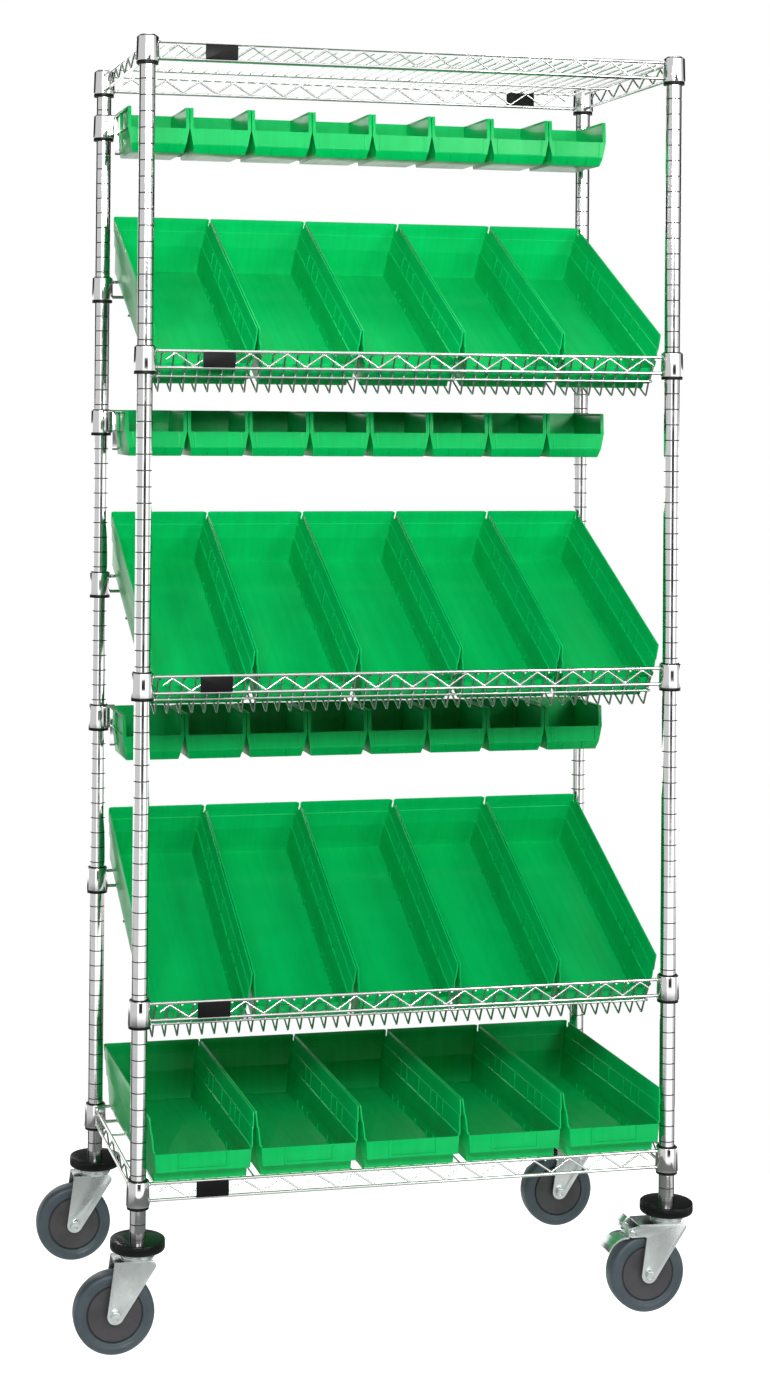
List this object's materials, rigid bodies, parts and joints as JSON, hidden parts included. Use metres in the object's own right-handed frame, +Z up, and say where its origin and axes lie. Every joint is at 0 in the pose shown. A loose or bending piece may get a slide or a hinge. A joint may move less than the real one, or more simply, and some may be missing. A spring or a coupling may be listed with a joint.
{
  "type": "slanted shelf cart",
  "caption": "Tall wire cart on swivel casters with two level and three forward-leaning shelves of open bins, and rails of small hanging hopper bins between them.",
  "frame": {"origin": "on the floor, midway between the four posts", "axes": "+X to the right as seen from the open front of the bins, +Y to the back, +Z up"},
  "size_m": [1.0198, 0.505, 2.0456],
  "materials": {
    "chrome": "bright chrome plate over steel wire and tube",
    "sleeve_plastic": "moulded black plastic",
    "label_plastic": "black plastic, bare",
    "bumper_rubber": "smooth black, slightly glossy",
    "bin_plastic": "glossy moulded polypropylene",
    "zinc": "bright zinc-plated pressed steel",
    "wheel_rubber": "grey thermoplastic rubber tread on a dark grey hub"
  },
  "bodies": {
    "cart": {"posts": "chrome", "flat_shelves": "chrome", "slanted_shelves": "chrome", "bin_rails": "chrome", "split_sleeves": "sleeve_plastic", "label_plates": "label_plastic", "bumpers": "bumper_rubber"},
    "fork_front_left": {"fork_front_left": "zinc"},
    "wheel_front_left": {"wheel_front_left": "wheel_rubber"},
    "fork_front_right": {"fork_front_right": "zinc"},
    "wheel_front_right": {"wheel_front_right": "wheel_rubber"},
    "fork_rear_left": {"fork_rear_left": "zinc"},
    "wheel_rear_left": {"wheel_rear_left": "wheel_rubber"},
    "fork_rear_right": {"fork_rear_right": "zinc"},
    "wheel_rear_right": {"wheel_rear_right": "wheel_rubber"},
    "brake_lever": {"brake_lever": "zinc"},
    "upper_shelf_bin_1": {"upper_shelf_bin_1": "bin_plastic"},
    "upper_shelf_bin_2": {"upper_shelf_bin_2": "bin_plastic"},
    "upper_shelf_bin_3": {"upper_shelf_bin_3": "bin_plastic"},
    "upper_shelf_bin_4": {"upper_shelf_bin_4": "bin_plastic"},
    "upper_shelf_bin_5": {"upper_shelf_bin_5": "bin_plastic"},
    "middle_shelf_bin_1": {"middle_shelf_bin_1": "bin_plastic"},
    "middle_shelf_bin_2": {"middle_shelf_bin_2": "bin_plastic"},
    "middle_shelf_bin_3": {"middle_shelf_bin_3": "bin_plastic"},
    "middle_shelf_bin_4": {"middle_shelf_bin_4": "bin_plastic"},
    "middle_shelf_bin_5": {"middle_shelf_bin_5": "bin_plastic"},
    "lower_shelf_bin_1": {"lower_shelf_bin_1": "bin_plastic"},
    "lower_shelf_bin_2": {"lower_shelf_bin_2": "bin_plastic"},
    "lower_shelf_bin_3": {"lower_shelf_bin_3": "bin_plastic"},
    "lower_shelf_bin_4": {"lower_shelf_bin_4": "bin_plastic"},
    "lower_shelf_bin_5": {"lower_shelf_bin_5": "bin_plastic"},
    "bottom_shelf_bin_1": {"bottom_shelf_bin_1": "bin_plastic"},
    "bottom_shelf_bin_2": {"bottom_shelf_bin_2": "bin_plastic"},
    "bottom_shelf_bin_3": {"bottom_shelf_bin_3": "bin_plastic"},
    "bottom_shelf_bin_4": {"bottom_shelf_bin_4": "bin_plastic"},
    "bottom_shelf_bin_5": {"bottom_shelf_bin_5": "bin_plastic"},
    "upper_hopper_bin_1": {"upper_hopper_bin_1": "bin_plastic"},
    "upper_hopper_bin_2": {"upper_hopper_bin_2": "bin_plastic"},
    "upper_hopper_bin_3": {"upper_hopper_bin_3": "bin_plastic"},
    "upper_hopper_bin_4": {"upper_hopper_bin_4": "bin_plastic"},
    "upper_hopper_bin_5": {"upper_hopper_bin_5": "bin_plastic"},
    "upper_hopper_bin_6": {"upper_hopper_bin_6": "bin_plastic"},
    "upper_hopper_bin_7": {"upper_hopper_bin_7": "bin_plastic"},
    "upper_hopper_bin_8": {"upper_hopper_bin_8": "bin_plastic"},
    "middle_hopper_bin_1": {"middle_hopper_bin_1": "bin_plastic"},
    "middle_hopper_bin_2": {"middle_hopper_bin_2": "bin_plastic"},
    "middle_hopper_bin_3": {"middle_hopper_bin_3": "bin_plastic"},
    "middle_hopper_bin_4": {"middle_hopper_bin_4": "bin_plastic"},
    "middle_hopper_bin_5": {"middle_hopper_bin_5": "bin_plastic"},
    "middle_hopper_bin_6": {"middle_hopper_bin_6": "bin_plastic"},
    "middle_hopper_bin_7": {"middle_hopper_bin_7": "bin_plastic"},
    "middle_hopper_bin_8": {"middle_hopper_bin_8": "bin_plastic"},
    "lower_hopper_bin_1": {"lower_hopper_bin_1": "bin_plastic"},
    "lower_hopper_bin_2": {"lower_hopper_bin_2": "bin_plastic"},
    "lower_hopper_bin_3": {"lower_hopper_bin_3": "bin_plastic"},
    "lower_hopper_bin_4": {"lower_hopper_bin_4": "bin_plastic"},
    "lower_hopper_bin_5": {"lower_hopper_bin_5": "bin_plastic"},
    "lower_hopper_bin_6": {"lower_hopper_bin_6": "bin_plastic"},
    "lower_hopper_bin_7": {"lower_hopper_bin_7": "bin_plastic"},
    "lower_hopper_bin_8": {"lower_hopper_bin_8": "bin_plastic"}
  },
  "joints": [
    {"name": "front_left_swivel", "type": "hinge", "parent": "cart", "child": "fork_front_left", "pos_m": [-0.43815, -0.20955, 0.127], "axis": [0, 0, 1], "continuous": true},
    {"name": "front_left_wheel_spin", "type": "hinge", "parent": "fork_front_left", "child": "wheel_front_left", "pos_m": [-0.47515, -0.20955, 0.0635], "axis": [0, 1, 0], "continuous": true},
    {"name": "front_right_swivel", "type": "hinge", "parent": "cart", "child": "fork_front_right", "pos_m": [0.43815, -0.20955, 0.127], "axis": [0, 0, 1], "continuous": true},
    {"name": "front_right_wheel_spin", "type": "hinge", "parent": "fork_front_right", "child": "wheel_front_right", "pos_m": [0.40115, -0.20955, 0.0635], "axis": [0, 1, 0], "continuous": true},
    {"name": "rear_left_swivel", "type": "hinge", "parent": "cart", "child": "fork_rear_left", "pos_m": [-0.43815, 0.20955, 0.127], "axis": [0, 0, 1], "continuous": true},
    {"name": "rear_left_wheel_spin", "type": "hinge", "parent": "fork_rear_left", "child": "wheel_rear_left", "pos_m": [-0.47515, 0.20955, 0.0635], "axis": [0, 1, 0], "continuous": true},
    {"name": "rear_right_swivel", "type": "hinge", "parent": "cart", "child": "fork_rear_right", "pos_m": [0.43815, 0.20955, 0.127], "axis": [0, 0, 1], "continuous": true},
    {"name": "rear_right_wheel_spin", "type": "hinge", "parent": "fork_rear_right", "child": "wheel_rear_right", "pos_m": [0.40115, 0.20955, 0.0635], "axis": [0, 1, 0], "continuous": true},
    {"name": "brake_press", "type": "hinge", "parent": "fork_front_right", "child": "brake_lever", "pos_m": [0.37215, -0.20955, 0.134], "axis": [0, -1, 0], "range_deg": [0, 10]},
    {"name": "upper_shelf_bin_1_lift", "type": "slide", "parent": "cart", "child": "upper_shelf_bin_1", "axis": [0, -0.4611, 0.8873], "range_m": [0, 0.075]},
    {"name": "upper_shelf_bin_2_lift", "type": "slide", "parent": "cart", "child": "upper_shelf_bin_2", "axis": [0, -0.4611, 0.8873], "range_m": [0, 0.075]},
    {"name": "upper_shelf_bin_3_lift", "type": "slide", "parent": "cart", "child": "upper_shelf_bin_3", "axis": [0, -0.4611, 0.8873], "range_m": [0, 0.075]},
    {"name": "upper_shelf_bin_4_lift", "type": "slide", "parent": "cart", "child": "upper_shelf_bin_4", "axis": [0, -0.4611, 0.8873], "range_m": [0, 0.075]},
    {"name": "upper_shelf_bin_5_lift", "type": "slide", "parent": "cart", "child": "upper_shelf_bin_5", "axis": [0, -0.4611, 0.8873], "range_m": [0, 0.075]},
    {"name": "middle_shelf_bin_1_lift", "type": "slide", "parent": "cart", "child": "middle_shelf_bin_1", "axis": [0, -0.4611, 0.8873], "range_m": [0, 0.075]},
    {"name": "middle_shelf_bin_2_lift", "type": "slide", "parent": "cart", "child": "middle_shelf_bin_2", "axis": [0, -0.4611, 0.8873], "range_m": [0, 0.075]},
    {"name": "middle_shelf_bin_3_lift", "type": "slide", "parent": "cart", "child": "middle_shelf_bin_3", "axis": [0, -0.4611, 0.8873], "range_m": [0, 0.075]},
    {"name": "middle_shelf_bin_4_lift", "type": "slide", "parent": "cart", "child": "middle_shelf_bin_4", "axis": [0, -0.4611, 0.8873], "range_m": [0, 0.075]},
    {"name": "middle_shelf_bin_5_lift", "type": "slide", "parent": "cart", "child": "middle_shelf_bin_5", "axis": [0, -0.4611, 0.8873], "range_m": [0, 0.075]},
    {"name": "lower_shelf_bin_1_lift", "type": "slide", "parent": "cart", "child": "lower_shelf_bin_1", "axis": [0, -0.4611, 0.8873], "range_m": [0, 0.075]},
    {"name": "lower_shelf_bin_2_lift", "type": "slide", "parent": "cart", "child": "lower_shelf_bin_2", "axis": [0, -0.4611, 0.8873], "range_m": [0, 0.075]},
    {"name": "lower_shelf_bin_3_lift", "type": "slide", "parent": "cart", "child": "lower_shelf_bin_3", "axis": [0, -0.4611, 0.8873], "range_m": [0, 0.075]},
    {"name": "lower_shelf_bin_4_lift", "type": "slide", "parent": "cart", "child": "lower_shelf_bin_4", "axis": [0, -0.4611, 0.8873], "range_m": [0, 0.075]},
    {"name": "lower_shelf_bin_5_lift", "type": "slide", "parent": "cart", "child": "lower_shelf_bin_5", "axis": [0, -0.4611, 0.8873], "range_m": [0, 0.075]},
    {"name": "bottom_shelf_bin_1_pull", "type": "slide", "parent": "cart", "child": "bottom_shelf_bin_1", "axis": [0, -1, 0], "range_m": [0, 0.35]},
    {"name": "bottom_shelf_bin_2_pull", "type": "slide", "parent": "cart", "child": "bottom_shelf_bin_2", "axis": [0, -1, 0], "range_m": [0, 0.35]},
    {"name": "bottom_shelf_bin_3_pull", "type": "slide", "parent": "cart", "child": "bottom_shelf_bin_3", "axis": [0, -1, 0], "range_m": [0, 0.35]},
    {"name": "bottom_shelf_bin_4_pull", "type": "slide", "parent": "cart", "child": "bottom_shelf_bin_4", "axis": [0, -1, 0], "range_m": [0, 0.35]},
    {"name": "bottom_shelf_bin_5_pull", "type": "slide", "parent": "cart", "child": "bottom_shelf_bin_5", "axis": [0, -1, 0], "range_m": [0, 0.35]},
    {"name": "upper_hopper_bin_1_lift", "type": "slide", "parent": "cart", "child": "upper_hopper_bin_1", "axis": [0, 0, 1], "range_m": [0, 0.02]},
    {"name": "upper_hopper_bin_2_lift", "type": "slide", "parent": "cart", "child": "upper_hopper_bin_2", "axis": [0, 0, 1], "range_m": [0, 0.02]},
    {"name": "upper_hopper_bin_3_lift", "type": "slide", "parent": "cart", "child": "upper_hopper_bin_3", "axis": [0, 0, 1], "range_m": [0, 0.02]},
    {"name": "upper_hopper_bin_4_lift", "type": "slide", "parent": "cart", "child": "upper_hopper_bin_4", "axis": [0, 0, 1], "range_m": [0, 0.02]},
    {"name": "upper_hopper_bin_5_lift", "type": "slide", "parent": "cart", "child": "upper_hopper_bin_5", "axis": [0, 0, 1], "range_m": [0, 0.02]},
    {"name": "upper_hopper_bin_6_lift", "type": "slide", "parent": "cart", "child": "upper_hopper_bin_6", "axis": [0, 0, 1], "range_m": [0, 0.02]},
    {"name": "upper_hopper_bin_7_lift", "type": "slide", "parent": "cart", "child": "upper_hopper_bin_7", "axis": [0, 0, 1], "range_m": [0, 0.02]},
    {"name": "upper_hopper_bin_8_lift", "type": "slide", "parent": "cart", "child": "upper_hopper_bin_8", "axis": [0, 0, 1], "range_m": [0, 0.02]},
    {"name": "middle_hopper_bin_1_lift", "type": "slide", "parent": "cart", "child": "middle_hopper_bin_1", "axis": [0, 0, 1], "range_m": [0, 0.02]},
    {"name": "middle_hopper_bin_2_lift", "type": "slide", "parent": "cart", "child": "middle_hopper_bin_2", "axis": [0, 0, 1], "range_m": [0, 0.02]},
    {"name": "middle_hopper_bin_3_lift", "type": "slide", "parent": "cart", "child": "middle_hopper_bin_3", "axis": [0, 0, 1], "range_m": [0, 0.02]},
    {"name": "middle_hopper_bin_4_lift", "type": "slide", "parent": "cart", "child": "middle_hopper_bin_4", "axis": [0, 0, 1], "range_m": [0, 0.02]},
    {"name": "middle_hopper_bin_5_lift", "type": "slide", "parent": "cart", "child": "middle_hopper_bin_5", "axis": [0, 0, 1], "range_m": [0, 0.02]},
    {"name": "middle_hopper_bin_6_lift", "type": "slide", "parent": "cart", "child": "middle_hopper_bin_6", "axis": [0, 0, 1], "range_m": [0, 0.02]},
    {"name": "middle_hopper_bin_7_lift", "type": "slide", "parent": "cart", "child": "middle_hopper_bin_7", "axis": [0, 0, 1], "range_m": [0, 0.02]},
    {"name": "middle_hopper_bin_8_lift", "type": "slide", "parent": "cart", "child": "middle_hopper_bin_8", "axis": [0, 0, 1], "range_m": [0, 0.02]},
    {"name": "lower_hopper_bin_1_lift", "type": "slide", "parent": "cart", "child": "lower_hopper_bin_1", "axis": [0, 0, 1], "range_m": [0, 0.02]},
    {"name": "lower_hopper_bin_2_lift", "type": "slide", "parent": "cart", "child": "lower_hopper_bin_2", "axis": [0, 0, 1], "range_m": [0, 0.02]},
    {"name": "lower_hopper_bin_3_lift", "type": "slide", "parent": "cart", "child": "lower_hopper_bin_3", "axis": [0, 0, 1], "range_m": [0, 0.02]},
    {"name": "lower_hopper_bin_4_lift", "type": "slide", "parent": "cart", "child": "lower_hopper_bin_4", "axis": [0, 0, 1], "range_m": [0, 0.02]},
    {"name": "lower_hopper_bin_5_lift", "type": "slide", "parent": "cart", "child": "lower_hopper_bin_5", "axis": [0, 0, 1], "range_m": [0, 0.02]},
    {"name": "lower_hopper_bin_6_lift", "type": "slide", "parent": "cart", "child": "lower_hopper_bin_6", "axis": [0, 0, 1], "range_m": [0, 0.02]},
    {"name": "lower_hopper_bin_7_lift", "type": "slide", "parent": "cart", "child": "lower_hopper_bin_7", "axis": [0, 0, 1], "range_m": [0, 0.02]},
    {"name": "lower_hopper_bin_8_lift", "type": "slide", "parent": "cart", "child": "lower_hopper_bin_8", "axis": [0, 0, 1], "range_m": [0, 0.02]}
  ]
}
